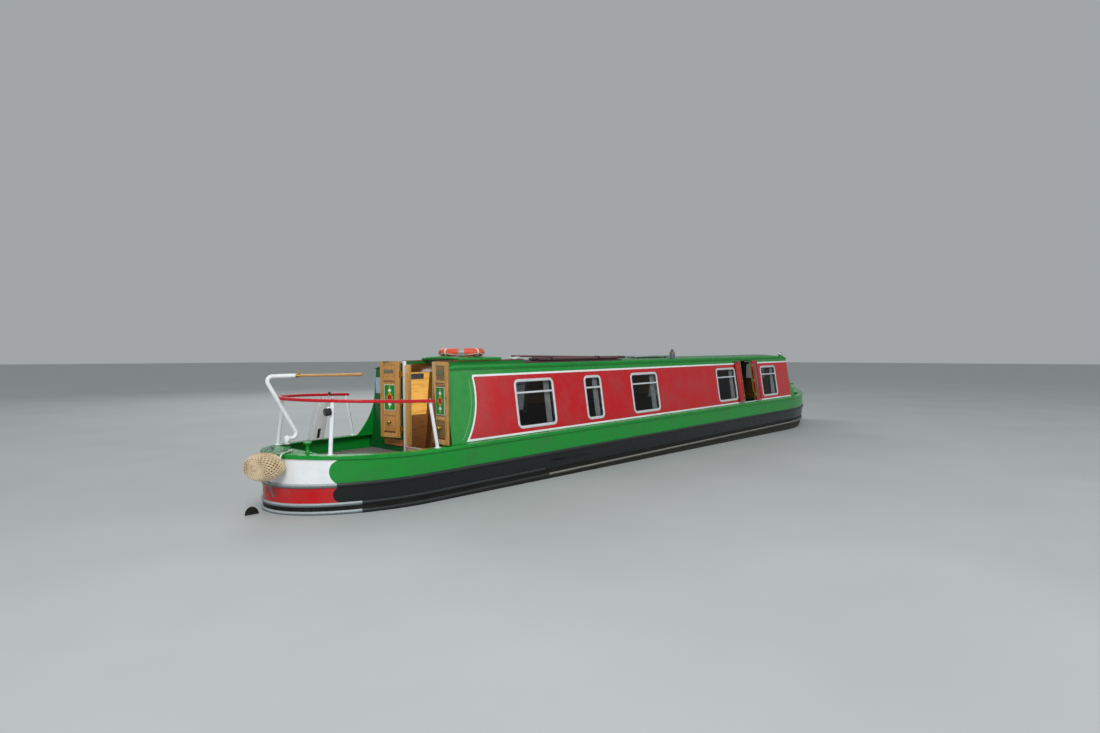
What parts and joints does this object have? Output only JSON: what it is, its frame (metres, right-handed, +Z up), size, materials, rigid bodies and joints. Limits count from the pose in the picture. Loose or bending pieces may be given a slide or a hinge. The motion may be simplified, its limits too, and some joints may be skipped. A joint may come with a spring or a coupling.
{
  "type": "narrowboat",
  "caption": "Canal narrowboat: flat-bottomed steel hull, long cabin with windows, open stern cockpit with rail, swinging doors, sliding hatch, rudder and propeller.",
  "frame": {"origin": "underside of the flat baseplate on the centre line, 5.8 m forward of the rear cabin bulkhead", "axes": "+X towards the bow, +Y to port, +Z up"},
  "size_m": [15.6735, 2.08, 2.5206],
  "materials": {
    "bottom_black": "matte bitumen",
    "green_paint": "gloss enamel",
    "strake_grey": "worn paint on steel",
    "red_paint": "gloss enamel",
    "deck_grey": "non-slip paint",
    "white_paint": "gloss enamel",
    "varnished_wood": "varnish",
    "window_dark": "dark glass in aluminium frame",
    "lifebuoy_orange": "satin",
    "bronze": "cast bronze",
    "engine_green": "painted",
    "fender_rope": "woven rope",
    "chimney_grey": "satin",
    "solar_blue": "gloss cells",
    "plank_brown": "weathered",
    "lamp_chrome": "polished"
  },
  "bodies": {
    "hull": {"baseplate": "bottom_black", "swim_and_counter_bottom": "bottom_black", "hull_side_port": "green_paint", "hull_side_starboard": "green_paint", "aft_deck": "green_paint", "bow_deck": "green_paint", "rear_bulkhead": "green_paint", "front_bulkhead": "green_paint", "roof": "green_paint", "gunwale_port_aft": "green_paint", "gunwale_port": "green_paint", "gunwale_port_fore": "green_paint", "gunwale_starboard_aft": "green_paint", "gunwale_starboard": "green_paint", "gunwale_starboard_fore": "green_paint", "strake_top": "strake_grey", "strake_waterline": "strake_grey", "strake_stern": "strake_grey", "cabin_side_port": "red_paint", "cabin_side_starboard": "red_paint", "taffrail_stern": "red_paint", "taffrail_port": "red_paint", "taffrail_starboard": "red_paint", "cockpit_floor": "deck_grey", "well_floor": "deck_grey", "control_column": "white_paint", "door_frame": "varnished_wood", "cabin_floor": "varnished_wood", "window_port_1": "window_dark", "window_port_2": "window_dark", "window_port_3": "window_dark", "window_port_4": "window_dark", "window_port_5": "window_dark", "window_starboard_1": "window_dark", "window_starboard_2": "window_dark", "window_starboard_3": "window_dark", "window_starboard_4": "window_dark", "window_starboard_5": "window_dark", "engine_block": "engine_green", "stern_fender": "fender_rope", "chimney": "chimney_grey", "solar_panel": "solar_blue", "roof_plank": "plank_brown", "boat_poles": "plank_brown", "headlamp": "lamp_chrome"},
    "steering_gear": {"rudder": "bottom_black", "tiller_arm": "white_paint", "tiller_bar": "varnished_wood"},
    "propeller_shaft": {"propeller": "bronze"},
    "door_port": {"rear_door_port": "varnished_wood"},
    "door_starboard": {"rear_door_starboard": "varnished_wood"},
    "sliding_hatch": {"slide_hatch": "green_paint", "lifebuoy": "lifebuoy_orange"},
    "bow_door_port": {"front_door_port": "varnished_wood"},
    "bow_door_starboard": {"front_door_starboard": "varnished_wood"},
    "locker_lid_body": {"locker_lid": "green_paint"},
    "leaf_port_aft": {"hatch_leaf_port_aft": "red_paint"},
    "leaf_port_fore": {"hatch_leaf_port_fore": "varnished_wood"},
    "leaf_starboard_aft": {"hatch_leaf_starboard_aft": "red_paint"},
    "leaf_starboard_fore": {"hatch_leaf_starboard_fore": "varnished_wood"}
  },
  "joints": [
    {"name": "steering", "type": "hinge", "parent": "hull", "child": "steering_gear", "pos_m": [-7.49, 0, 1], "axis": [0, 0, 1], "range_deg": [-38, 38]},
    {"name": "propeller_spin", "type": "hinge", "parent": "hull", "child": "propeller_shaft", "pos_m": [-7.05, 0, 0.3], "axis": [1, 0, 0], "continuous": true},
    {"name": "rear_door_port_swing", "type": "hinge", "parent": "hull", "child": "door_port", "pos_m": [-5.826, 0.065, 1.8], "axis": [0, 0, 1], "range_deg": [0, 168]},
    {"name": "rear_door_starboard_swing", "type": "hinge", "parent": "hull", "child": "door_starboard", "pos_m": [-5.826, -0.675, 1.8], "axis": [0, 0, -1], "range_deg": [0, 174]},
    {"name": "hatch_slide", "type": "slide", "parent": "hull", "child": "sliding_hatch", "axis": [1, 0, 0], "range_m": [-0.336, 0.4]},
    {"name": "bow_door_port_swing", "type": "hinge", "parent": "hull", "child": "bow_door_port", "pos_m": [5.07, 0.316, 1.65], "axis": [0, 0, 1], "range_deg": [0, 165]},
    {"name": "bow_door_starboard_swing", "type": "hinge", "parent": "hull", "child": "bow_door_starboard", "pos_m": [5.07, -0.316, 1.65], "axis": [0, 0, -1], "range_deg": [0, 165]},
    {"name": "locker_lid_lift", "type": "hinge", "parent": "hull", "child": "locker_lid_body", "pos_m": [7.084, 0, 1.332], "axis": [0, 1, 0], "range_deg": [0, 100]},
    {"name": "side_hatch_port_aft_swing", "type": "hinge", "parent": "hull", "child": "leaf_port_aft", "pos_m": [2.53, 0.87071, 1.75], "axis": [0, 0.1454, -0.9894], "range_deg": [0, 178]},
    {"name": "side_hatch_port_fore_swing", "type": "hinge", "parent": "hull", "child": "leaf_port_fore", "pos_m": [3.08, 0.87071, 1.75], "axis": [0, -0.1454, 0.9894], "range_deg": [0, 178]},
    {"name": "side_hatch_starboard_aft_swing", "type": "hinge", "parent": "hull", "child": "leaf_starboard_aft", "pos_m": [2.53, -0.87071, 1.75], "axis": [0, 0.1454, 0.9894], "range_deg": [0, 178]},
    {"name": "side_hatch_starboard_fore_swing", "type": "hinge", "parent": "hull", "child": "leaf_starboard_fore", "pos_m": [3.08, -0.87071, 1.75], "axis": [0, -0.1454, -0.9894], "range_deg": [0, 178]}
  ]
}
